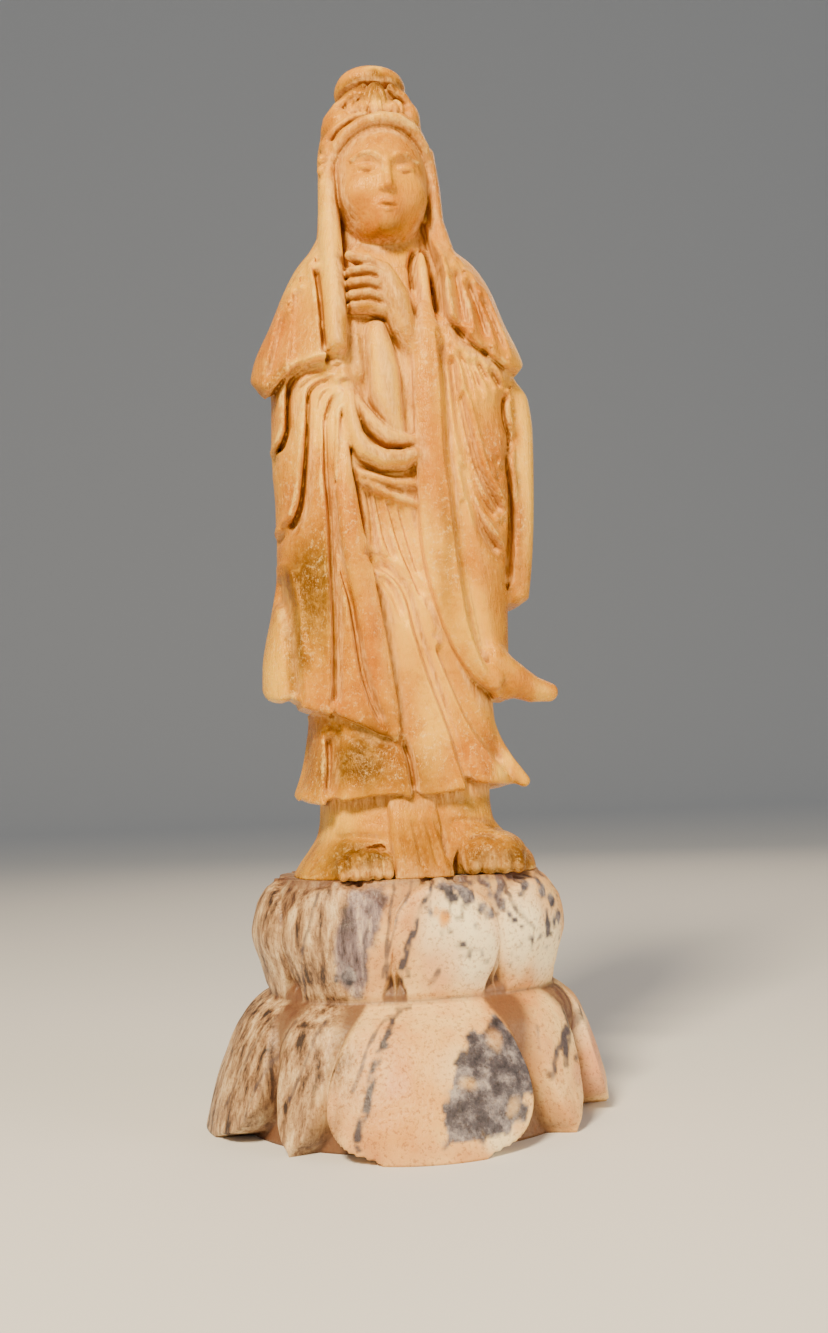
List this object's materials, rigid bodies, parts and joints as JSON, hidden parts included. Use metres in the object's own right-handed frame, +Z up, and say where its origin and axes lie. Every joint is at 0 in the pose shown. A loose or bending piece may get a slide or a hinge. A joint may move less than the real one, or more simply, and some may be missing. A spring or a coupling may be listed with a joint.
{
  "type": "guanyin figure on a lotus pedestal",
  "caption": "Standing carved stone Guanyin in a veil, cape and wide-sleeved robe, one hand raised, on a separate two-tier lotus pedestal with a flat underside.",
  "frame": {"origin": "centre of the pedestal's flat underside", "axes": "+Z up, the figure faces -Y, +X to the viewer's right"},
  "size_m": [0.0957, 0.0958, 0.2565],
  "materials": {
    "honey_soapstone": "waxy polished honey-coloured soapstone, chalky in the cuts",
    "mottled_soapstone": "satin cream, grey and brown mottled soapstone"
  },
  "bodies": {
    "root": {"guanyin_figure": "honey_soapstone", "lotus_pedestal": "mottled_soapstone"}
  },
  "joints": []
}
